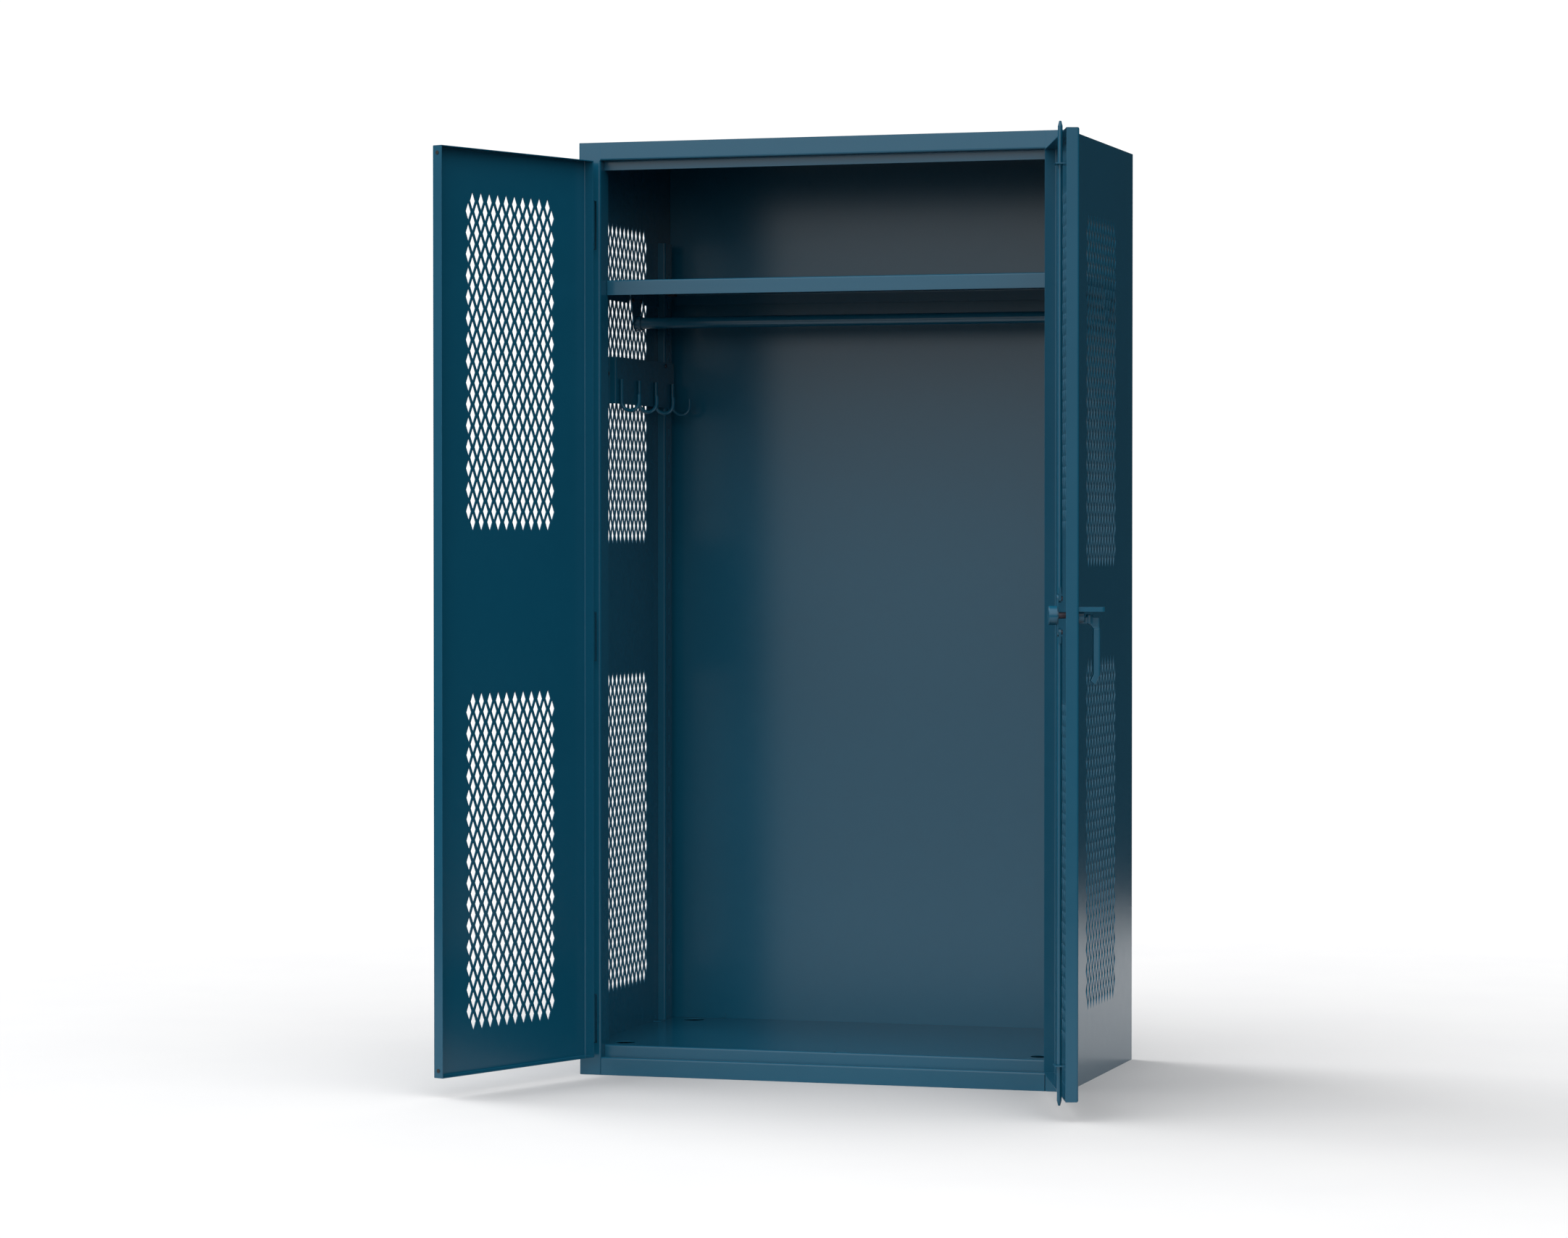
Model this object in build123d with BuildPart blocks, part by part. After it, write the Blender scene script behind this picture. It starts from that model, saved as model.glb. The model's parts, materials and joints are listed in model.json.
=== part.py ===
from build123d import *
import os

os.makedirs("parts", exist_ok=True)

# A two door steel locker with vented doors and vented sides, drawn with both doors swung open.
# X runs to the right, Y to the back and Z up. The origin is on the floor under the middle.

# Cabinet, all lengths in millimetres
cabinet_width = 1066.8
cabinet_depth = 609.6
cabinet_height = 1981.2
sheet = 1.9
bend = 4.0
overrun = 1.0

# Front frame round the door opening
post_face = 48.3
post_return = 50.8
post_wrap = 12.0
header_height = 38.1
base_height = 38.1
base_ledge = 26.0
stop_lip = 19.0
stop_clearance = 1.0

# Doors, with the gaps round them
door_depth = 25.4
door_gap = 2.4
hinge_gap = 4.0
left_open_angle = 110.6
right_open_angle = 108.7

# Diamond vents
vent_pitch = 26.27
vent_step = 44.0
vent_width = 15.8
vent_height = 37.0
vent_columns = 10
vent_rows = 16
door_vent_rise = 514.8
left_wall_vent_middles = (503.1, 1478.1)
right_wall_vent_middles = (521.0, 1452.0)
right_wall_vent_rows = 17

# Hinges, three to a door
hinge_height = 101.6
hinge_heights = (120.0, 933.0, 1806.0)
knuckle_count = 5
knuckle_gap = 0.3
hinge_pin_radius = 3.15
running_fit = 0.05
hinge_leaf = 2.0
leaf_standoff = 0.3
hinge_inset = 18.9
leaf_leg = 20.0
fixed_leaf_reach = 21.0
slot_outer = 8.2
slot_inner = 10.0
slot_play = 1.2

# Floor of the cabinet and the channel under it
floor_top = 62.0
floor_lip = 26.0
anchor_hole_radius = 22.0
anchor_spacing_x = 916.0
anchor_spacing_y = 473.5
anchor_shift = 13.8
support_width = 60.0
support_flange = 15.0

# Shelf
shelf_top = 1692.0
shelf_lip = 31.75
shelf_rear_lip = 25.0
shelf_side_lip = 33.7
shelf_setback = 41.0
shelf_reach = 590.0
shelf_notch_play = 0.8
clip_width = 16.0
clip_reach = 16.5
clip_height = 6.0

# Slotted standards on the side walls
standard_start = 520.0
standard_width = 50.0
standard_reach = 17.0
standard_top = 1802.0
standard_slot_height = 15.0
standard_slot_width = 4.0
standard_slot_pitch = 57.15
standard_slot_count = 29
standard_slot_rise = 60.0
standard_foot = 34.0

# Hanger rod and its brackets
rod_radius = 12.7
rod_wall = 1.65
rod_setback = 367.0
rod_height = 1616.0
rod_end_gap = 0.5
socket_fit = 0.2
socket_wall = 3.0
socket_length = 12.0
bracket_width = 92.0
bracket_plate = 2.4
bracket_flange = 19.5
bracket_nose = 18.0
bracket_screw_inset = 20.0
bracket_screw_drop = 25.0

# Plate with coat hooks on the left wall
hook_plate_bottom = 1434.0
hook_plate_height = 101.0
hook_plate_start = 182.0
hook_plate_end = 576.0
hook_wall_flange = 15.0
hook_wire_radius = 4.0
hook_setbacks = (205.0, 324.0, 438.0, 554.0)
hook_top = 1488.0
hook_bottom = 1415.0
hook_tip = 1454.0
hook_span = 40.0
hook_screw_heights = (1498.9, 1527.9)
hook_rear_screw_setback = 516.7

# Screw and rivet heads
screw_head_radius = 4.0
screw_head_height = 2.5
rivet_head_radius = 4.5
rivet_head_height = 2.0
wall_rivet_spread = 404.0
wall_rivet_heights = (68.0, 1951.1)
button_radius = 4.0
button_height = 1.0
button_inset = 15.0
button_depth = 14.0

# Latch on the right door
latch_inset = 35.0
latch_travel = 33.0
rod_clearance = 1.0
bolt_radius = 4.75
bolt_depth = 34.5
bolt_taper = 10.0
bolt_tip_radius = 2.2
eye_thickness = 5.0
eye_radius = 8.0
eye_length = 22.0
cam_pin_radius = 2.95
cam_pin_head_radius = 5.0
cam_pin_head = 2.5
cam_gap = 0.3
cam_thickness = 3.0
cam_end_radius = 8.0
cam_waist = 22.0
spindle_radius = 6.35
spindle_square = 8.9
spindle_thread_radius = 4.0
spindle_thread = 12.0
nut_radius = 19.0
nut_height = 16.7
nut_edge = 1.5
bush_flange_radius = 15.0
bush_flange = 2.0
bush_radius = 10.0
bush_length = 20.0
guide_rise = 880.0
guide_plate = 2.4
guide_width = 43.0
guide_reach = 45.0
guide_foot = 25.0
guide_play = 0.4
guide_side_play = 5.6
guide_rivet_spread = 24.0
floor_slot_side_play = 8.25
floor_slot_play = 1.2

# Latch handle and the hasp plate above it
hub_radius = 15.0
hub_gap = 0.5
hub_end = 13.0
hub_socket = 3.0
lever_width = 10.0
lever_top = 3.5
lever_thickness = 12.5
lever_root = 6.0
lever_web = 14.0
grip_inner = 31.0
grip_outer = 44.0
grip_width = 22.0
grip_start = 25.0
grip_bend = 116.0
grip_end = 136.0
grip_return = 19.0
grip_return_rise = 8.0
grip_edge = 3.0
lug_radius = 7.0
lug_rise = 2.0
lug_reach = 24.0
padlock_radius = 4.0
hasp_bottom = 7.5
hasp_thickness = 9.0
hasp_reach = 52.0
hasp_toward_edge = 30.0
hasp_toward_hinge = 22.0
hasp_notch = 16.0
hasp_notch_depth = 14.5
hasp_corner = 6.0

# Places worked out from the sizes above
half_width = cabinet_width / 2
wall = half_width - sheet
front = -cabinet_depth / 2
back = cabinet_depth / 2
opening_half = half_width - post_face
opening_top = cabinet_height - header_height
stop_face = front + door_depth + stop_clearance
door_edge = opening_half - hinge_gap
door_free = door_gap / 2
door_middle = (door_edge + door_free) / 2
door_bottom = base_height + door_gap
door_top = opening_top - door_gap
middle = (base_height + opening_top) / 2
inner_bend = bend - sheet
front_plane = Plane.XZ.offset(-front)
inside_plane = Plane.XZ.offset(-front - sheet)

knuckle_bore = hinge_pin_radius + running_fit
knuckle_radius = knuckle_bore + hinge_leaf
knuckle_length = hinge_height / knuckle_count
hinge_x = opening_half + hinge_inset
hinge_y = front - leaf_standoff - hinge_leaf + knuckle_radius

left_swing = (Axis((-hinge_x, hinge_y, 0), (0, 0, 1)), -left_open_angle)
right_swing = (Axis((hinge_x, hinge_y, 0), (0, 0, 1)), right_open_angle)


def save(part, label, swing=None):
    """Writes a finished piece, first swung open with its door where it rides on one."""
    placed = part.rotate(*swing) if swing else part
    placed.label = label
    export_step(placed, f"parts/{label}.step")


def bent_profile(*points, radii, thickness=sheet):
    """Fills a bent sheet whose metal lies to the left of the line through the points."""
    with BuildLine() as outline:
        FilletPolyline(*points, radius=radii)
        offset(amount=thickness, side=Side.LEFT)
    make_face(outline.line.edges())


def area(start_x, end_x, start_y, end_y, mode=Mode.ADD):
    """Fills the rectangle between two corners."""
    with Locations(((start_x + end_x) / 2, (start_y + end_y) / 2)):
        Rectangle(abs(end_x - start_x), abs(end_y - start_y), mode=mode)


def vent_field(rows):
    """Fills one field of staggered diamonds, wide rows between the given number of narrow ones."""
    for columns, count in ((vent_columns, rows), (vent_columns + 1, rows - 1)):
        with GridLocations(vent_pitch, vent_step, columns, count):
            Polygon(
                (vent_width / 2, 0),
                (0, vent_height / 2),
                (-vent_width / 2, 0),
                (0, -vent_height / 2),
            )


# Front posts: face, return into the opening and a wrap round the outer corner
slot_height = hinge_height + 2 * slot_play
with BuildPart() as left_post:
    with BuildSketch():
        bent_profile(
            (-half_width, front + post_wrap),
            (-half_width, front),
            (-opening_half, front),
            (-opening_half, front + post_return),
            radii=[bend, bend],
        )
    extrude(amount=opening_top)
    with BuildSketch(Plane.XY.offset(opening_top)):
        bent_profile(
            (-half_width, front + post_wrap),
            (-half_width, front),
            (-opening_half, front),
            radii=[bend],
        )
    extrude(amount=header_height)
    with BuildSketch(front_plane):
        for height in hinge_heights:
            area(
                -hinge_x - slot_outer,
                -hinge_x + slot_inner,
                height - slot_height / 2,
                height + slot_height / 2,
            )
    extrude(amount=-bend, mode=Mode.SUBTRACT)
with BuildPart() as right_post:
    mirror(left_post.part, about=Plane.YZ)
save(left_post.part, "left_post")
save(right_post.part, "right_post")

# Header with the strip that the doors stop against
with BuildPart() as header_rail:
    with BuildSketch(Plane.YZ.offset(-opening_half)):
        bent_profile(
            (front, cabinet_height),
            (front, opening_top),
            (stop_face, opening_top),
            (stop_face, opening_top - stop_lip),
            radii=[bend, inner_bend],
        )
    extrude(amount=2 * opening_half)
save(header_rail.part, "header_rail")

# Base rail under the doors, with its ledge
with BuildPart() as base_rail:
    with BuildSketch(Plane.YZ.offset(-opening_half)):
        bent_profile(
            (front + base_ledge, base_height),
            (front, base_height),
            (front, 0),
            radii=[bend],
        )
    extrude(amount=2 * opening_half)
save(base_rail.part, "base_rail")

# Side walls, each with two fields of vents, one row more to a field on the right
side_walls = (
    ("left_side_panel", -half_width, sheet, left_wall_vent_middles, vent_rows),
    ("right_side_panel", half_width, -sheet, right_wall_vent_middles, right_wall_vent_rows),
)
for name, outside, inward, field_middles, rows in side_walls:
    with BuildPart() as side_panel:
        with BuildSketch(Plane.YZ.offset(outside)):
            area(front + post_wrap, back, 0, cabinet_height)
        extrude(amount=inward)
        with BuildSketch(Plane.YZ.offset(outside)):
            for height in field_middles:
                with Locations((0, height)):
                    vent_field(rows)
        extrude(amount=inward, mode=Mode.SUBTRACT)
    save(side_panel.part, name)

# Back wall and top
with BuildPart() as back_panel:
    with BuildSketch(Plane.XZ.offset(-back)):
        area(-wall, wall, 0, cabinet_height)
    extrude(amount=sheet)
save(back_panel.part, "back_panel")

with BuildPart() as top_panel:
    with BuildSketch(Plane.XY.offset(cabinet_height - sheet)):
        area(-wall, wall, front + sheet, back - sheet)
    extrude(amount=sheet)
    fillet(top_panel.edges().filter_by(Axis.Z).group_by(Axis.Y)[0], radius=inner_bend)
save(top_panel.part, "top_panel")

# Floor, with four anchor holes and a slot that the lower bolt drops through
latch_x = door_free + latch_inset
bolt_y = front + bolt_depth

with BuildPart() as floor_pan:
    with BuildSketch(Plane.YZ.offset(-opening_half)):
        bent_profile(
            (back - sheet, floor_top),
            (stop_face, floor_top),
            (stop_face, floor_top - floor_lip),
            radii=[bend],
        )
    extrude(amount=2 * opening_half)
    with BuildSketch(Plane.XY.offset(floor_top)):
        area(-wall, wall, front + post_return, back - sheet)
    extrude(amount=-sheet)
    with BuildSketch(Plane.XY.offset(floor_top)):
        with Locations((0, anchor_shift)):
            with GridLocations(anchor_spacing_x, anchor_spacing_y, 2, 2):
                Circle(anchor_hole_radius)
        with Locations((latch_x, bolt_y)):
            Rectangle(
                2 * (bolt_radius + floor_slot_side_play),
                2 * (bolt_radius + floor_slot_play),
            )
    extrude(amount=-bend, mode=Mode.SUBTRACT)
save(floor_pan.part, "floor_pan")

# Channel that carries the middle of the floor
support_height = floor_top - sheet
with BuildPart() as floor_support:
    with BuildSketch(Plane.YZ.offset(-wall)):
        area(-support_width / 2, support_width / 2, 0, sheet)
        for side in (-1, 1):
            edge = side * support_width / 2
            area(edge, edge - side * sheet, 0, support_height)
            area(edge, edge + side * support_flange, support_height - sheet, support_height)
    extrude(amount=2 * wall)
save(floor_support.part, "floor_support")

# Shelf, notched at the front corners for the posts and at the back for the standards, with lips
# along the side walls that leave room for the rod brackets
standard_face = wall - standard_reach
with BuildPart() as shelf:
    with BuildSketch(Plane.YZ.offset(-wall)):
        bent_profile(
            (front + shelf_reach, shelf_top - shelf_rear_lip),
            (front + shelf_reach, shelf_top),
            (front + shelf_setback, shelf_top),
            (front + shelf_setback, shelf_top - shelf_lip),
            radii=[bend, bend],
        )
    extrude(amount=2 * wall)
    with BuildSketch(Plane.XY.offset(shelf_top)):
        for side in (-1, 1):
            area(
                side * (standard_face - shelf_notch_play),
                side * (wall + overrun),
                front + standard_start - shelf_notch_play,
                back,
            )
            area(
                side * (opening_half - shelf_notch_play),
                side * (wall + overrun),
                front,
                front + post_return + shelf_notch_play,
            )
    extrude(amount=-shelf_lip, mode=Mode.SUBTRACT)
    with BuildSketch(Plane.XY.offset(shelf_top - sheet)):
        for start, end in (
            (post_return, rod_setback - bracket_width / 2),
            (rod_setback + bracket_width / 2, standard_start),
        ):
            for side in (-1, 1):
                area(
                    side * wall,
                    side * (wall - sheet),
                    front + start + shelf_notch_play,
                    front + end - shelf_notch_play,
                )
    extrude(amount=sheet - shelf_side_lip)
save(shelf.part, "shelf")

# Clips in the standards under the back of the shelf
standard_middle = front + standard_start + standard_width / 2
with BuildPart() as shelf_clips:
    with BuildSketch(Plane.XY.offset(shelf_top - sheet)):
        for side in (-1, 1):
            area(
                side * standard_face,
                side * (standard_face - clip_reach),
                standard_middle - clip_width / 2,
                standard_middle + clip_width / 2,
            )
    extrude(amount=-clip_height)
save(shelf_clips.part, "shelf_clips")

# Slotted standards
with BuildPart() as left_standard:
    with BuildSketch(Plane.XY.offset(floor_top)):
        bent_profile(
            (-wall, front + standard_start),
            (-standard_face, front + standard_start),
            (-standard_face, front + standard_start + standard_width),
            (-wall, front + standard_start + standard_width),
            radii=[bend, bend],
        )
    extrude(amount=standard_top - floor_top)
    with BuildSketch(Plane.XY.offset(floor_top)):
        area(
            -wall,
            -standard_face,
            front + standard_start - standard_foot,
            front + standard_start,
        )
    extrude(amount=sheet)
    with BuildSketch(Plane.YZ.offset(-standard_face)):
        for number in range(standard_slot_count):
            rise = floor_top + standard_slot_rise + number * standard_slot_pitch
            with Locations((standard_middle, rise)):
                Rectangle(standard_slot_width, standard_slot_height)
    extrude(amount=-sheet, mode=Mode.SUBTRACT)
with BuildPart() as right_standard:
    mirror(left_standard.part, about=Plane.YZ)
save(left_standard.part, "left_shelf_standard")
save(right_standard.part, "right_shelf_standard")

# Hanger rod, a tube between two wall brackets
rod_y = front + rod_setback
plate_face = wall - bracket_plate
bracket_top = shelf_top - sheet
with BuildPart() as hanger_rod:
    with BuildSketch(Plane.YZ.offset(-plate_face + rod_end_gap)):
        with Locations((rod_y, rod_height)):
            Circle(rod_radius)
            Circle(rod_radius - rod_wall, mode=Mode.SUBTRACT)
    extrude(amount=2 * (plate_face - rod_end_gap))
save(hanger_rod.part, "hanger_rod")

socket_bore = rod_radius + socket_fit
with BuildPart() as left_rod_bracket:
    with BuildSketch(Plane.YZ.offset(-wall)):
        with BuildLine():
            nose = CenterArc((rod_y, rod_height), bracket_nose, 180, 180)
            Polyline(
                nose @ 0,
                (rod_y - bracket_width / 2, bracket_top),
                (rod_y + bracket_width / 2, bracket_top),
                nose @ 1,
            )
        make_face()
    extrude(amount=bracket_plate)
    with BuildSketch(Plane.XY.offset(bracket_top)):
        area(-wall, -wall + bracket_flange, rod_y - bracket_width / 2, rod_y + bracket_width / 2)
    extrude(amount=-bracket_plate)
    with BuildSketch(Plane.YZ.offset(-plate_face)):
        with Locations((rod_y, rod_height)):
            Circle(socket_bore + socket_wall)
            Circle(socket_bore, mode=Mode.SUBTRACT)
    extrude(amount=socket_length)
with BuildPart() as right_rod_bracket:
    mirror(left_rod_bracket.part, about=Plane.YZ)
save(left_rod_bracket.part, "left_rod_bracket")
save(right_rod_bracket.part, "right_rod_bracket")

with BuildPart() as bracket_screws:
    for side in (-1, 1):
        with BuildSketch(Plane.YZ.offset(side * plate_face)):
            for end in (-1, 1):
                spread = bracket_width / 2 - bracket_screw_inset
                with Locations((rod_y + end * spread, bracket_top - bracket_screw_drop)):
                    Circle(screw_head_radius)
        extrude(amount=-side * screw_head_height)
save(bracket_screws.part, "bracket_screws")

# Coat hooks on a plate that bridges from the wall to the left standard
hook_face = standard_face - sheet
hook_x = -hook_face + hook_wire_radius
with BuildPart() as hook_plate:
    with BuildSketch(Plane.XY.offset(hook_plate_bottom)):
        bent_profile(
            (-wall + sheet, front + hook_plate_start - hook_wall_flange),
            (-wall + sheet, front + hook_plate_start),
            (-hook_face, front + hook_plate_start),
            (-hook_face, front + hook_plate_end),
            radii=[inner_bend, bend],
        )
    extrude(amount=hook_plate_height)
save(hook_plate.part, "hook_plate")

hook_bend = hook_span / 2
hook_turn = hook_bottom + hook_wire_radius + hook_bend
with BuildPart() as coat_hooks:
    for setback in hook_setbacks:
        with BuildLine(Plane.XZ.offset(-front - setback)) as route:
            Line((hook_x, hook_top), (hook_x, hook_turn))
            CenterArc((hook_x + hook_bend, hook_turn), hook_bend, 180, 180)
            Line((hook_x + hook_span, hook_turn), (hook_x + hook_span, hook_tip))
        with BuildSketch(Plane(origin=(hook_x, front + setback, hook_top), z_dir=(0, 0, -1))):
            Circle(hook_wire_radius)
        sweep(path=route.line)
save(coat_hooks.part, "coat_hooks")

with BuildPart() as hook_screws:
    with BuildSketch(Plane.YZ.offset(-wall + sheet)):
        with Locations((front + hook_plate_start - hook_wall_flange / 2, hook_screw_heights[0])):
            Circle(screw_head_radius)
    extrude(amount=screw_head_height)
    with BuildSketch(Plane.YZ.offset(-hook_face)):
        with Locations((front + hook_rear_screw_setback, hook_screw_heights[1])):
            Circle(screw_head_radius)
    extrude(amount=screw_head_height)
save(hook_screws.part, "hook_screws")

# Rivet heads on the inside of the back wall
with BuildPart() as wall_rivets:
    with BuildSketch(Plane.XZ.offset(sheet - back)):
        for height in wall_rivet_heights:
            with Locations((-wall_rivet_spread, height), (wall_rivet_spread, height)):
                Circle(rivet_head_radius)
    extrude(amount=rivet_head_height)
save(wall_rivets.part, "back_wall_rivets")

# Hinges: a fixed leaf behind the post, a leaf on the door and a pin through both
leg_face = door_edge
strap_front = hinge_y - knuckle_radius
knuckle_solid = knuckle_length - knuckle_gap


def knuckle(level, start, end, low, high):
    """Rolls one knuckle round the hinge axis, with the sheet that runs into it."""
    with BuildSketch(Plane.XY.offset(level)) as profile:
        area(start, end, low, high)
        with Locations((-hinge_x, hinge_y)):
            Circle(knuckle_radius)
            Circle(knuckle_bore, mode=Mode.SUBTRACT)
    extrude(profile.sketch, amount=knuckle_solid)


with BuildPart() as left_door_leaves:
    for height in hinge_heights:
        foot = height - hinge_height / 2
        with BuildSketch(Plane.XY.offset(foot)):
            strap_start = -hinge_x + knuckle_radius + knuckle_gap
            area(strap_start, -leg_face, strap_front, strap_front + hinge_leaf)
            area(-leg_face - hinge_leaf, -leg_face, strap_front, front + leaf_leg)
        extrude(amount=hinge_height)
        for number in range(1, knuckle_count, 2):
            level = foot + number * knuckle_length + knuckle_gap / 2
            knuckle(level, -hinge_x, -leg_face, strap_front, strap_front + hinge_leaf)

with BuildPart() as left_frame_leaves:
    for height in hinge_heights:
        foot = height - hinge_height / 2
        leaf_end = -hinge_x - fixed_leaf_reach
        leaf_low = front + sheet
        with BuildSketch(Plane.XY.offset(foot)):
            area(leaf_end, -hinge_x - slot_outer, leaf_low, leaf_low + hinge_leaf)
        extrude(amount=hinge_height)
        for number in range(0, knuckle_count, 2):
            level = foot + number * knuckle_length + knuckle_gap / 2
            knuckle(level, leaf_end, -hinge_x, leaf_low, leaf_low + hinge_leaf)

with BuildPart() as left_hinge_pins:
    for height in hinge_heights:
        with BuildSketch(Plane.XY.offset(height - hinge_height / 2)):
            with Locations((-hinge_x, hinge_y)):
                Circle(hinge_pin_radius)
        extrude(amount=hinge_height)

with BuildPart() as right_door_leaves:
    mirror(left_door_leaves.part, about=Plane.YZ)
with BuildPart() as right_frame_leaves:
    mirror(left_frame_leaves.part, about=Plane.YZ)
with BuildPart() as right_hinge_pins:
    mirror(left_hinge_pins.part, about=Plane.YZ)
save(left_frame_leaves.part, "left_hinge_frame_leaves")
save(right_frame_leaves.part, "right_hinge_frame_leaves")
save(left_hinge_pins.part, "left_hinge_pins")
save(right_hinge_pins.part, "right_hinge_pins")
save(left_door_leaves.part, "left_hinge_door_leaves", left_swing)
save(right_door_leaves.part, "right_hinge_door_leaves", right_swing)

# Doors, shallow pans with two fields of vents
with BuildPart() as left_door:
    with BuildSketch(front_plane):
        area(-door_edge, -door_free, door_bottom, door_top)
    extrude(amount=-door_depth)
    fillet(left_door.faces().sort_by(Axis.Y)[0].edges(), radius=bend)
    offset(amount=-sheet, openings=left_door.faces().sort_by(Axis.Y)[-1])
    with BuildSketch(front_plane):
        low_field = (-door_middle, middle - door_vent_rise)
        high_field = (-door_middle, middle + door_vent_rise)
        with Locations(low_field, high_field):
            vent_field(vent_rows)
    extrude(amount=-bend, mode=Mode.SUBTRACT)
with BuildPart() as right_door:
    mirror(left_door.part, about=Plane.YZ)
    with BuildSketch(front_plane):
        with Locations((latch_x, middle)):
            Circle(bush_radius)
    extrude(amount=-bend, mode=Mode.SUBTRACT)
save(left_door.part, "left_door", left_swing)
save(right_door.part, "right_door", right_swing)

# Buttons on the free edge of the left door
with BuildPart() as edge_buttons:
    with BuildSketch(Plane.YZ.offset(-door_free)):
        for height in (door_bottom + button_inset, door_top - button_inset):
            with Locations((front + button_depth, height)):
                Circle(button_radius)
    extrude(amount=button_height)
save(edge_buttons.part, "left_door_edge_buttons", left_swing)

# Latch plane: X towards the hinge, Y up, Z out of the door, with its origin on the spindle axis
latch_plane = Plane(origin=(latch_x, front, middle), x_dir=(1, 0, 0), z_dir=(0, -1, 0))
cam_front = bolt_depth + eye_thickness / 2 + cam_gap
cam_back = cam_front + cam_thickness

# Bush that carries the spindle in the door sheet
with BuildPart() as spindle_bush:
    with BuildSketch(latch_plane):
        Circle(bush_radius)
    extrude(amount=-bush_length)
    with BuildSketch(latch_plane.offset(-sheet)):
        Circle(bush_flange_radius)
    extrude(amount=-bush_flange)
    with BuildSketch(latch_plane):
        Circle(spindle_radius + running_fit)
    extrude(amount=-bush_length, mode=Mode.SUBTRACT)
save(spindle_bush.part, "spindle_bush", right_swing)

# Spindle, round through the bush, square in the cam and thin under the nut
with BuildPart() as spindle:
    with BuildSketch(latch_plane.offset(hub_end - hub_socket)):
        Circle(spindle_radius)
    extrude(amount=-(hub_end - hub_socket + cam_front))
    with BuildSketch(latch_plane.offset(-cam_front)):
        Rectangle(spindle_square, spindle_square)
    extrude(amount=-cam_thickness)
    with BuildSketch(latch_plane.offset(-cam_back)):
        Circle(spindle_thread_radius)
    extrude(amount=-spindle_thread)
save(spindle.part, "latch_spindle", right_swing)

# Cam with the two pins that drive the bolts
with BuildPart() as latch_cam:
    with BuildSketch(latch_plane.offset(-cam_front)):
        with Locations((0, latch_travel), (0, -latch_travel)):
            Circle(cam_end_radius)
        Rectangle(2 * cam_end_radius, 2 * latch_travel)
        Circle(cam_waist / 2)
        Rectangle(spindle_square, spindle_square, mode=Mode.SUBTRACT)
        with Locations((0, latch_travel), (0, -latch_travel)):
            Circle(cam_pin_radius, mode=Mode.SUBTRACT)
    extrude(amount=-cam_thickness)
save(latch_cam.part, "latch_cam", right_swing)

pin_head_top = bolt_depth - eye_thickness / 2 - cam_gap
with BuildPart() as cam_pins:
    for side in (-1, 1):
        with BuildSketch(latch_plane.offset(-pin_head_top)):
            with Locations((0, side * latch_travel)):
                Circle(cam_pin_radius)
        extrude(amount=-(cam_back - pin_head_top))
        with BuildSketch(latch_plane.offset(-pin_head_top)):
            with Locations((0, side * latch_travel)):
                Circle(cam_pin_head_radius)
        extrude(amount=cam_pin_head)
save(cam_pins.part, "cam_pins", right_swing)

# Round nut that closes the inner end of the spindle
with BuildPart() as spindle_nut:
    with BuildSketch(latch_plane.offset(-cam_back)):
        Circle(nut_radius)
    extrude(amount=-nut_height)
    fillet(spindle_nut.faces().sort_by(Axis.Y)[-1].edges(), radius=nut_edge)
    with BuildSketch(latch_plane.offset(-cam_back)):
        Circle(spindle_thread_radius)
    extrude(amount=-spindle_thread, mode=Mode.SUBTRACT)
save(spindle_nut.part, "spindle_nut", right_swing)


def bolt_body(side, tip):
    """Builds one round bolt from its flat eye on the cam to its tapered tip."""
    pin = middle + side * latch_travel
    start = pin + side * (eye_radius + rod_clearance)
    shoulder = tip - side * bolt_taper
    with BuildSketch(Plane.XY.offset(start)) as shank:
        with Locations((latch_x, bolt_y)):
            Circle(bolt_radius)
    extrude(shank.sketch, amount=shoulder - start)
    with BuildSketch(Plane.XY.offset(shoulder)) as taper_root:
        with Locations((latch_x, bolt_y)):
            Circle(bolt_radius)
    with BuildSketch(Plane.XY.offset(tip)) as taper_tip:
        with Locations((latch_x, bolt_y)):
            Circle(bolt_tip_radius)
    loft(sections=[taper_root.sketch.face(), taper_tip.sketch.face()])
    eye_plane = latch_plane.offset(eye_thickness / 2 - bolt_depth)
    with BuildSketch(eye_plane) as eye:
        with Locations((0, side * latch_travel)):
            Circle(eye_radius)
        area(-eye_radius, eye_radius, side * latch_travel, side * (latch_travel + eye_length))
    extrude(eye.sketch, amount=-eye_thickness)
    with BuildSketch(eye_plane) as pin_hole:
        with Locations((0, side * latch_travel)):
            Circle(cam_pin_radius + running_fit)
    extrude(pin_hole.sketch, amount=-eye_thickness, mode=Mode.SUBTRACT)


# At rest the bolts stand out past the stop lip and through the floor
upper_tip = opening_top - stop_lip - rod_clearance + latch_travel
lower_tip = floor_top + rod_clearance - latch_travel
with BuildPart() as upper_bolt:
    bolt_body(1, upper_tip)
with BuildPart() as lower_bolt:
    bolt_body(-1, lower_tip)
save(upper_bolt.part, "upper_bolt", right_swing)
save(lower_bolt.part, "lower_bolt", right_swing)

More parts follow.
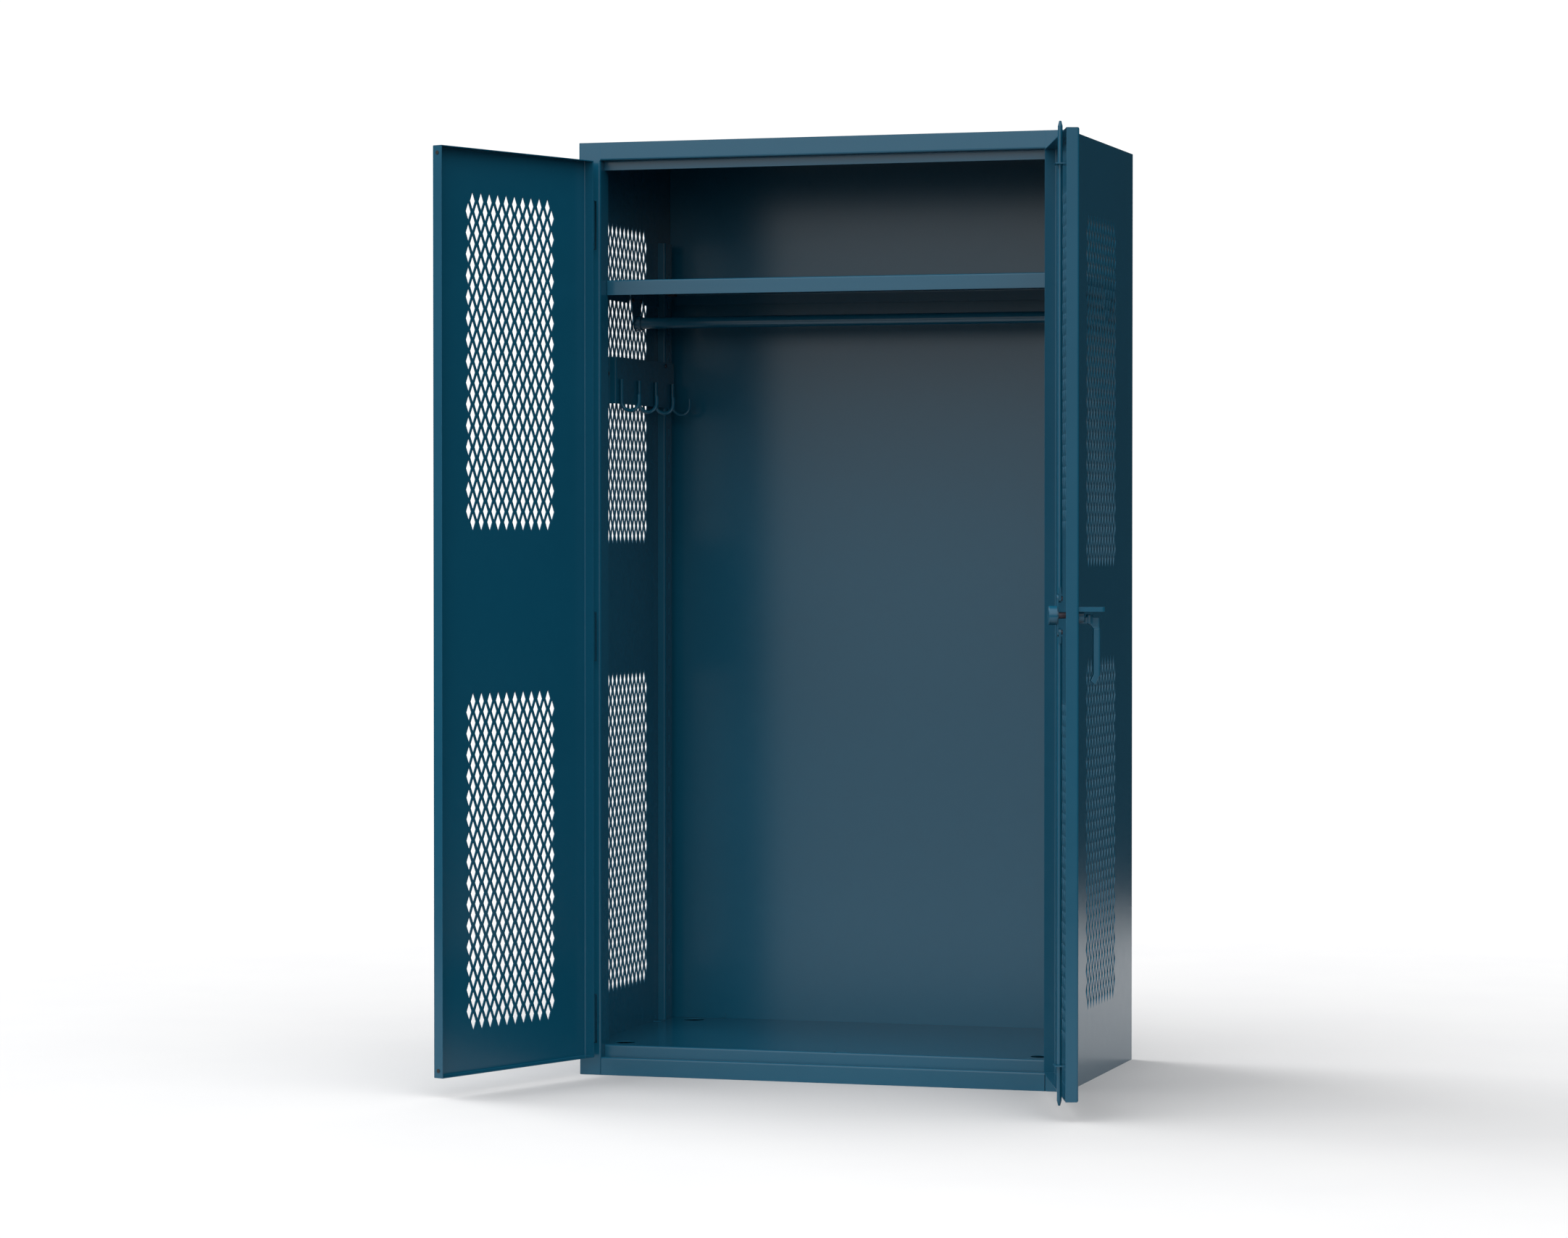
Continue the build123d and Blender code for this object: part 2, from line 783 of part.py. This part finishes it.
# Guides that keep the bolts behind the door sheet
with BuildPart() as bolt_guides:
    for side in (-1, 1):
        with BuildSketch(Plane.XY.offset(middle + side * guide_rise)):
            area(
                latch_x - guide_width / 2,
                latch_x + guide_width / 2,
                front + sheet,
                front + guide_reach,
            )
            with Locations((latch_x, bolt_y)):
                Rectangle(
                    2 * (bolt_radius + guide_side_play),
                    2 * (bolt_radius + guide_play),
                    mode=Mode.SUBTRACT,
                )
        extrude(amount=side * guide_plate)
        with BuildSketch(inside_plane):
            with Locations((latch_x, middle + side * (guide_rise - guide_foot / 2))):
                Rectangle(guide_width, guide_foot)
        extrude(amount=-guide_plate)
save(bolt_guides.part, "bolt_guides", right_swing)

with BuildPart() as guide_rivets:
    with BuildSketch(inside_plane.offset(-guide_plate)):
        for side in (-1, 1):
            with Locations((latch_x, middle + side * (guide_rise - guide_foot / 2))):
                with GridLocations(guide_rivet_spread, 0, 2, 1):
                    Circle(rivet_head_radius)
    extrude(amount=-rivet_head_height)
save(guide_rivets.part, "guide_rivets", right_swing)

# Cast handle: hub, arm out of the door, grip hanging down and a lug for the padlock
lever_bottom = -lever_top - lever_thickness
side_view = Plane(origin=(latch_x, front, middle), x_dir=(0, -1, 0), z_dir=(-1, 0, 0))
with BuildPart() as latch_handle:
    with BuildSketch(latch_plane.offset(hub_gap)):
        Circle(hub_radius)
    extrude(amount=hub_end - hub_gap)
    with BuildSketch(side_view):
        area(lever_root, grip_outer, lever_bottom, -lever_top)
        area(grip_inner, grip_outer, -grip_start, -lever_top)
        area(grip_inner - lever_web, grip_inner, lever_bottom - lever_web, lever_bottom)
        with Locations((grip_inner - lever_web, lever_bottom - lever_web)):
            Circle(lever_web, mode=Mode.SUBTRACT)
    extrude(amount=lever_width / 2, both=True)
    with BuildSketch(side_view):
        with BuildLine():
            Polyline(
                (grip_inner, -grip_start),
                (grip_outer, -grip_start),
                (grip_outer, -grip_bend),
                (grip_outer - grip_return / 2, -grip_end),
                (grip_outer - grip_return, -grip_end + grip_return_rise),
                (grip_inner, -grip_bend),
                close=True,
            )
        make_face()
    extrude(amount=grip_width / 2, both=True)
    grip_long = latch_handle.edges().filter_by(Axis.Z).group_by(Axis.Y)
    fillet(grip_long[0], radius=grip_edge)
    with BuildSketch(Plane.XY.offset(middle - lever_top - lever_thickness)):
        with Locations((latch_x, front - lug_reach)):
            Circle(lug_radius)
    extrude(amount=lever_top + lever_thickness + lug_rise)
    with BuildSketch(Plane.XY.offset(middle - lever_top - lever_thickness)):
        with Locations((latch_x, front - lug_reach)):
            Circle(padlock_radius)
    extrude(amount=lever_top + lever_thickness + lug_rise, mode=Mode.SUBTRACT)
    with BuildSketch(latch_plane.offset(hub_gap)):
        Circle(spindle_radius)
    extrude(amount=hub_end - hub_socket - hub_gap, mode=Mode.SUBTRACT)
save(latch_handle.part, "latch_handle", right_swing)

# Hasp plate fixed above the hub, with the padlock hole over the lug
with BuildPart() as hasp_plate:
    with BuildSketch(Plane.XY.offset(middle + hasp_bottom)):
        area(
            latch_x - hasp_toward_edge,
            latch_x + hasp_toward_hinge,
            front - hasp_reach,
            front,
        )
        fillet(vertices().group_by(Axis.Y)[0], radius=hasp_corner)
        area(
            latch_x - hasp_notch,
            latch_x + hasp_notch,
            front - hasp_notch_depth,
            front,
            mode=Mode.SUBTRACT,
        )
        with Locations((latch_x, front - lug_reach)):
            Circle(padlock_radius, mode=Mode.SUBTRACT)
    extrude(amount=hasp_thickness)
save(hasp_plate.part, "hasp_plate", right_swing)
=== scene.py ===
# %% [markdown]
# A two door steel locker
#
# The locker is folded from sheet steel and powder coated in one dark blue. Its exact shape comes from
# a imported CAD model, so this notebook doesn't model the sheets again. It gives each of them its finish,
# rounds the edges of the cast handle as a casting would have them, and lights the whole thing like a
# catalogue picture. Everything is in metres, in the frame of the CAD model: the floor is at z = 0, the
# front of the cabinet looks along -Y, and x = 0 is its middle.

# %% Load the imported model as a fixed frame
import json
from math import radians

import bpy
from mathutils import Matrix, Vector


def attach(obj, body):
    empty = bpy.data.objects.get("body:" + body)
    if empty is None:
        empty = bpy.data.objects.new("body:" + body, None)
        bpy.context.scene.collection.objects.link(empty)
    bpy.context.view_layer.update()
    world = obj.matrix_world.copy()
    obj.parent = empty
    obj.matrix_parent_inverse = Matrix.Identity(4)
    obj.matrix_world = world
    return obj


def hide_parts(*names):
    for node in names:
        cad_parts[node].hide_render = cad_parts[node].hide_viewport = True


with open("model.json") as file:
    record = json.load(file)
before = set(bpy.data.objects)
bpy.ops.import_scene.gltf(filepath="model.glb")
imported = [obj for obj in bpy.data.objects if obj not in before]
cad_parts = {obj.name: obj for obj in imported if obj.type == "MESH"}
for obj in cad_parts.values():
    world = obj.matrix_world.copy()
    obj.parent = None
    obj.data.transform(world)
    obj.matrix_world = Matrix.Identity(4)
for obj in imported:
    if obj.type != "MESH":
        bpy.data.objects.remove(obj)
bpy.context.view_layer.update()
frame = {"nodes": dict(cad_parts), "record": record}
nodes = frame["nodes"]

# %% [markdown]
# The camera
#
# A product picture like this one is taken with a long lens from well away, so that upright edges stay
# upright. The lens and the place below make the corners of the cabinet fall where the picture has them.
# The sensor is 36 mm wide, and the camera looks down by just under one degree.

# %% Put the camera where the picture was taken from
MM = 0.001
lens_mm, looks_down, looks_left = 102.27, 0.981, 17.0
camera_data = bpy.data.cameras.new("picture_camera")
camera_data.sensor_width = 36.0
camera_data.lens = lens_mm
camera_data.clip_end = 60.0
camera = bpy.data.objects.new("picture_camera", camera_data)
camera.location = (2.6555, -9.2442, 1.1327)
camera.rotation_euler = (radians(90.0 - looks_down), 0.0, radians(looks_left))
bpy.context.scene.collection.objects.link(camera)
bpy.context.scene.camera = camera
print("camera at", tuple(camera.location))

# %% [markdown]
# Shader maths as ordinary expressions
#
# A material in Blender is a graph of nodes. Wiring a sum or a product by hand takes four lines each, so
# this small class wraps one socket and lets Python's own operators add the Math nodes. Then 1 - mask is
# written just like that. Colours and vectors are mixed by their own nodes, because a Math node would
# turn a colour into one grey number.

# %% A socket that knows arithmetic
class Value:
    """One output socket of a material, with operators that add Math nodes."""

    def __init__(self, paint, socket):
        self.paint, self.socket = paint, socket

    def maths(self, operation, first, second):
        return self.paint.node("ShaderNodeMath", {"operation": operation}, {0: first, 1: second})[0]

    def __add__(self, other):
        return self.maths("ADD", self, other)

    def __rsub__(self, other):
        return self.maths("SUBTRACT", other, self)

    def __mul__(self, other):
        return self.maths("MULTIPLY", self, other)

    __radd__, __rmul__ = __add__, __mul__


# %% A finish: one material and the ways to add nodes to it
COLOUR_A, COLOUR_B, MIXED_COLOUR = 6, 7, 2  # the places of the colour sockets on a Mix node
SOFT_SAMPLES = 6  # rays that a Bevel node sends out to round an edge


class Finish:
    """A material with one Principled shader. Constants are set on the shader's own sockets."""

    def __init__(self, name, **constants):
        self.material = bpy.data.materials.new(name)
        self.material.use_nodes = True
        self.tree = self.material.node_tree
        self.tree.nodes.clear()
        output = self.tree.nodes.new("ShaderNodeOutputMaterial")
        self.shader = self.tree.nodes.new("ShaderNodeBsdfPrincipled")
        self.tree.links.new(self.shader.outputs[0], output.inputs[0])
        for socket, value in constants.items():
            self.shader.inputs[socket.replace("_", " ")].default_value = value

    def node(self, kind, settings=None, inputs=None):
        """Adds a node: its settings first, then the values or links of its sockets."""
        made = self.tree.nodes.new(kind)
        for key, value in (settings or {}).items():
            if key == "stops":
                ramp = made.color_ramp
                for stop, (place, shade) in zip((ramp.elements[0], ramp.elements[1]), value):
                    stop.position, stop.color = place, (shade, shade, shade, 1.0)
                for place, shade in value[2:]:
                    ramp.elements.new(place).color = (shade, shade, shade, 1.0)
            else:
                setattr(made, key, value)
        for key, value in (inputs or {}).items():
            if isinstance(value, Value):
                self.tree.links.new(value.socket, made.inputs[key])
            else:
                made.inputs[key].default_value = value
        return [Value(self, socket) for socket in made.outputs]

    def place(self):
        """Where a point is on the object, in metres."""
        return self.node("ShaderNodeTexCoord")[3]

    def noise(self, scale, detail=2.0, stretch=(1.0, 1.0, 1.0)):
        """Noise over the object, where a scale of 100 makes cells of about 10 mm."""
        where = self.node("ShaderNodeMapping", None, {0: self.place(), 3: stretch})[0]
        return self.node("ShaderNodeTexNoise", None, {0: where, "Scale": scale, "Detail": detail})[0]

    def mask(self, value, *stops):
        """Turns a value into a grey by a ramp, each stop a place and its shade."""
        return self.node("ShaderNodeValToRGB", {"stops": stops}, {0: value})[0]

    def mix(self, factor, first, second):
        """Mixes two colours, each a tuple or a link, by a factor."""
        solid = [tone if isinstance(tone, Value) else (*tone, 1.0) for tone in (first, second)]
        sockets = {0: factor, COLOUR_A: solid[0], COLOUR_B: solid[1]}
        return self.node("ShaderNodeMix", {"data_type": "RGBA"}, sockets)[MIXED_COLOUR]

    def feed(self, socket, value):
        self.tree.links.new(value.socket, self.shader.inputs[socket])

    def soft_normal(self, radius):
        """The normal of the surface as if its edges were rounded by that radius."""
        return self.node("ShaderNodeBevel", {"samples": SOFT_SAMPLES}, {0: radius})[0]

    def bump(self, height, strength, distance, rounded):
        """Feeds a bump into Normal, over edges that are rounded by that radius."""
        sockets = {"Strength": strength, "Distance": distance, "Height": height}
        sockets["Normal"] = self.soft_normal(rounded)
        self.feed("Normal", self.node("ShaderNodeBump", None, sockets)[0])


# %% [markdown]
# The powder coat
#
# Powder coat is sprayed on dry and baked, so it is even in colour, satin, and very slightly dimpled like
# the skin of an orange. It creeps back from sharp edges, where a thinner film looks a little lighter, and
# gathers in the inner corners. The lighter edges here are partly that thinner film and partly a painted
# highlight, standing for the light that the rounded bends catch. Nearly all the likeness is in the
# colour, the roughness and that dimple.
# The colour varies by a few percent over the length of a panel, which is what a sprayer's passes leave.

# %% Powder coat, the finish of every sheet
def srgb(red, green, blue):
    """A colour given as a screen shows it, as the linear values that the shader wants."""
    return tuple((part / 255.0) ** 2.2 for part in (red, green, blue))


def powder_coat(name, colour, roughness=0.22, peel=1.0):
    """A satin coat of one colour; peel says how strong its dimples are."""
    coat = Finish(name, Specular_IOR_Level=0.44)
    # the colour drifts by a few percent: long upright passes, with the film's own unevenness on top
    colour_drift = 0.04
    passes = coat.noise(1.3, detail=1.0, stretch=(1.0, 1.0, 2.5))
    film = coat.noise(34.0, detail=3.0)
    drift = coat.mask(passes * 0.7 + film * 0.3, (0.3, 0.0), (0.7, 1.0))
    darker = tuple(part * (1.0 - colour_drift) for part in colour)
    lighter = tuple(part * (1.0 + colour_drift) for part in colour)
    base = coat.mix(drift, darker, lighter)
    # at an edge the softened normal turns away from the true one, and the film is thin there;
    # the lighter colour there is partly that thin film and partly a painted highlight of the bend
    edge_reach, edge_share = 1.2 * MM, 0.55
    true = coat.node("ShaderNodeNewGeometry")[1]
    both = {0: coat.soft_normal(edge_reach), 1: true}
    facing = coat.node("ShaderNodeVectorMath", {"operation": "DOT_PRODUCT"}, both)[1]
    edge = coat.mask(1.0 - facing, (0.015, 0.0), (0.12, 1.0))
    edge_patches = coat.mask(coat.noise(90.0, detail=4.0), (0.35, 0.15), (0.75, 1.0))
    # painted highlight and thin film: the edges get a lighter tone, in patches
    thin_film_and_highlight = tuple(part * 1.9 + 0.01 for part in colour)
    coat.feed("Base Color", coat.mix(edge * edge_patches * edge_share, base, thin_film_and_highlight))
    # film noise lies round 0.5, so half of its span is taken off to keep the mean roughness
    roughness_span = 0.04
    level = film * roughness_span + (roughness - roughness_span / 2)
    coat.feed("Roughness", level + edge * roughness_span)
    dimple_strength, dimple_depth, corner_radius = 0.06 * peel, 0.25 * MM, 0.5 * MM
    dimple = coat.noise(720.0, detail=1.0)
    coat.bump(dimple, dimple_strength, dimple_depth, corner_radius)
    return coat.material


locker_blue = srgb(21, 77, 100)
paint = powder_coat("powder_coat_dark_blue", locker_blue)
print("paint in linear values:", [round(part, 4) for part in locker_blue])

# %% [markdown]
# Bare metal and rubber
#
# A few small parts aren't painted with the sheets: the spindle and its bush, the pins of the cam, the
# screws and the shelf clips are dark steel, and two buttons of black rubber sit on the free edge of
# the left door.
# Steel is a metal, so Metallic is 1 and its colour is the colour of its reflection, here a dark grey with
# a hint of purple. That dark grey is partly the parts' own dark metal and partly painted shade: the
# spindle sits in the shadow between the cam and the door, and the tone is darkened to stand for it.
# It is dull and cloudy rather than mirror bright, and its roughness does most of that.

# %% Dark steel with painted shade, and black rubber
def dark_steel_and_painted_shade(name, tone):
    """Dull, cloudy steel with a tone partly of painted shade: roughness 0.40 in smooth spots, 0.55 in
    rough.
    """
    steel = Finish(name, Metallic=1.0)
    cloud = steel.noise(160.0, detail=3.0)
    darker = tuple(part * 0.75 for part in tone)
    steel.feed("Base Color", steel.mix(cloud, darker, tone))
    steel.feed("Roughness", steel.mask(steel.noise(420.0, detail=3.0), (0.3, 0.40), (0.7, 0.55)))
    grain_strength, grain_depth, corner_radius = 0.15, 0.05 * MM, 0.3 * MM
    steel.bump(steel.noise(900.0), grain_strength, grain_depth, corner_radius)
    return steel.material


def black_rubber(name):
    """Matt black rubber, a little rougher where its grain stands out."""
    rubber = Finish(name, Specular_IOR_Level=0.35)
    grain = rubber.noise(650.0)
    rubber.feed("Base Color", rubber.mix(grain, (0.010, 0.011, 0.012), (0.024, 0.025, 0.026)))
    rubber.feed("Roughness", grain * 0.15 + 0.62)
    grain_strength, grain_depth, corner_radius = 0.3, 0.05 * MM, 0.4 * MM
    rubber.bump(grain, grain_strength, grain_depth, corner_radius)
    return rubber.material


# the tone is partly the parts' own dark metal and partly painted shade, for the shadow at the spindle
steel = dark_steel_and_painted_shade("dark_steel_and_painted_shade", (0.075, 0.068, 0.082))
rubber = black_rubber("button_rubber")

# %% Give each node the finish that the record names for it
finishes = {"cabinet_paint": paint, "dark_steel": steel, "black_rubber": rubber}
for subpart in frame["record"]["subparts"]:
    surface = nodes[subpart["node"]].data.materials
    surface.clear()
    surface.append(finishes[subpart["material_slot"]])

# %% [markdown]
# The cast handle
#
# The locking handle is an iron casting: hub, arm and grip in one piece, with every edge rounded by the
# sand mould and a skin that is a little rougher than rolled sheet. The CAD solid has its true form but
# sharp edges. A bevel on each edge would be fiddly where the arm, web and lug meet, so a copy of the
# solid is rebuilt out of small cubes, which forgets the old edges, and then smoothed a few times. That
# rounds all of them by about the same radius, as a casting's edges are. The CAD solid itself stays as it
# is, and the copy is shown in its place.

# %% Round the casting's edges on a copy of the solid
def baked(thing, name):
    """Turns an object and its modifiers into one plain mesh with a new name."""
    bpy.context.view_layer.update()
    with_modifiers = thing.evaluated_get(bpy.context.evaluated_depsgraph_get())
    mesh = bpy.data.meshes.new_from_object(with_modifiers)
    mesh.name = name
    bpy.data.objects.remove(thing)
    piece = bpy.data.objects.new(name, mesh)
    bpy.context.scene.collection.objects.link(piece)
    return piece


def as_casting(node_name, name, grain, rounds):
    """A copy of a CAD node with its edges rounded: cubes of that grain, smoothed so many times."""
    copy = bpy.data.objects.new("casting_blank", nodes[node_name].data.copy())
    bpy.context.scene.collection.objects.link(copy)
    cubes = copy.modifiers.new("cubes", "REMESH")
    cubes.mode, cubes.voxel_size, cubes.use_smooth_shade = "VOXEL", grain, True
    soften = copy.modifiers.new("soften", "SMOOTH")
    soften.factor, soften.iterations = 0.5, rounds
    return baked(copy, name)


casting_paint = powder_coat("powder_coat_on_cast_iron", locker_blue, roughness=0.30, peel=4.0)
handle = as_casting("latch_handle", "handle_casting", 0.9 * MM, 5)
handle.data.materials.clear()
handle.data.materials.append(casting_paint)
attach(handle, "latch_body")
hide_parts("latch_handle")
print("handle casting:", len(handle.data.polygons), "faces")

# %% [markdown]
# The floor and the backdrop
#
# The picture has a white floor that runs into a white backdrop with no line between them. A sheet of
# paper curved up behind the object would show its curve, so here the floor is one large plane, and its
# alpha fades it out until only the white world is left. Close to the cabinet the paper sees less of the
# studio. An Ambient Occlusion node tells how much, and the paper gets a little darker and bluer there,
# because the light that does reach it has come off the dark blue sheets.

# %% A floor that fades into the backdrop
floor_mesh = bpy.data.meshes.new("studio_floor")
floor_reach = 6.0
corner_signs = ((-1, -1), (1, -1), (1, 1), (-1, 1))
corners = [(x * floor_reach, y * floor_reach, 0.0) for x, y in corner_signs]
floor_mesh.from_pydata(corners, [], [(0, 1, 2, 3)])
floor = bpy.data.objects.new("studio_floor", floor_mesh)
bpy.context.scene.collection.objects.link(floor)
paper = Finish("studio_paper", Roughness=0.9, Specular_IOR_Level=0.1)
lit_paper = paper.mix(paper.noise(3.0), (0.68, 0.68, 0.69), (0.71, 0.71, 0.71))
shaded_paper = (0.57, 0.575, 0.585)
shade_distance = 1.8
openness = paper.node("ShaderNodeAmbientOcclusion", {"samples": 8}, {"Distance": shade_distance})[1]
clear = paper.mask(openness, (0.3, 0.0), (0.98, 1.0))
paper.feed("Base Color", paper.mix(clear, shaded_paper, lit_paper))
# the ramp runs from 0 to 1, so a distance is given as a share of ten metres
ramp_metres, fade_from, fade_to = 10.0, 3.0, 5.0
reach = paper.node("ShaderNodeVectorMath", {"operation": "LENGTH"}, {0: paper.place()})[1]
whole, gone = (fade_from / ramp_metres, 1.0), (fade_to / ramp_metres, 0.0)
paper.feed("Alpha", paper.mask(reach * (1.0 / ramp_metres), whole, gone))
floor_mesh.materials.append(paper.material)
floor.visible_diffuse = False

# %% [markdown]
# Studio light
#
# The front of the header is bright and a little milky, while the sides keep their full colour. That is
# what a broad white wall of light behind the camera does: faces turned to it mirror it. So the world is
# bright in front of the object and dim behind it. As plain light it is broad, and dimmed below the
# horizon, because a floor gives back less than the lamps above it. In reflections it is a narrower box
# high in front, so the inner walls stay deep in colour. Where the camera looks straight at the world, it
# is plain white. A sun that stands behind the left door and is half a metre wide at arm's length gives
# the one soft shadow on the floor, which falls to the right.

# %% The world: a bright wall in front, white to the camera
front_glow, back_glow, ground_share = 2.3, 0.3, 0.12
box_glow, gloss_glow = 1.52, 0.02
seen_white = 1.05
wall_direction, box_direction = (-0.10, -0.80, 0.59), (-0.2, -0.7, 0.69)
world = bpy.data.worlds.new("studio_world")
bpy.context.scene.world = world
world.use_nodes = True
sky = world.node_tree
sky.nodes.clear()


def sky_node(kind, settings=None, inputs=None):
    """Adds one node to the world, with its settings and then its values or links."""
    made = sky.nodes.new(kind)
    for key, value in (settings or {}).items():
        setattr(made, key, value)
    for key, value in (inputs or {}).items():
        if isinstance(value, bpy.types.NodeSocket):
            sky.links.new(value, made.inputs[key])
        else:
            made.inputs[key].default_value = value
    return made


ray = sky_node("ShaderNodeLightPath").outputs
towards = sky_node("ShaderNodeTexCoord").outputs["Generated"]
dot = {"operation": "DOT_PRODUCT"}
in_wall = sky_node("ShaderNodeVectorMath", dot, {0: towards, 1: wall_direction}).outputs["Value"]
in_box = sky_node("ShaderNodeVectorMath", dot, {0: towards, 1: box_direction}).outputs["Value"]
soft_step = {"interpolation_type": "SMOOTHSTEP"}
wide = {"Value": in_wall, "From Min": 0.0, "From Max": 0.95, "To Min": back_glow, "To Max": front_glow}
narrow = {"Value": in_box, "From Min": 0.47, "From Max": 0.85, "To Min": gloss_glow, "To Max": box_glow}
from_wall = sky_node("ShaderNodeMapRange", soft_step, wide).outputs[0]
level = sky_node("ShaderNodeSeparateXYZ", None, {0: towards}).outputs["Z"]
below = {"Value": level, "From Min": -0.35, "From Max": 0.2, "To Min": ground_share, "To Max": 1.0}
dimmed = sky_node("ShaderNodeMapRange", soft_step, below).outputs[0]
as_light = sky_node("ShaderNodeMath", {"operation": "MULTIPLY"}, {0: from_wall, 1: dimmed}).outputs[0]
as_gloss = sky_node("ShaderNodeMapRange", soft_step, narrow).outputs[0]
choice = {0: ray["Is Glossy Ray"], 2: as_light, 3: as_gloss}
glow = sky_node("ShaderNodeMix", None, choice).outputs[0]
backdrop = {0: ray["Is Camera Ray"], 2: glow, 3: seen_white}
strength = sky_node("ShaderNodeMix", None, backdrop).outputs[0]
white = (1.0, 1.0, 1.0, 1.0)
shine = sky_node("ShaderNodeBackground", None, {0: white, 1: strength}).outputs[0]
sky_node("ShaderNodeOutputWorld", None, {0: shine})
bpy.context.scene.view_settings.view_transform = "Standard"

# %% The soft sun behind the left door
sun_data = bpy.data.lights.new("soft_sun", "SUN")
sun_data.energy = 1.45
sun_data.angle = radians(38.0)
sun = bpy.data.objects.new("soft_sun", sun_data)
sun_from, sun_away = Vector((-1.0, 0.36, 0.76)), 5.0
sun.rotation_euler = sun_from.to_track_quat("Z", "Y").to_euler()
sun.location = sun_from * sun_away
bpy.context.scene.collection.objects.link(sun)
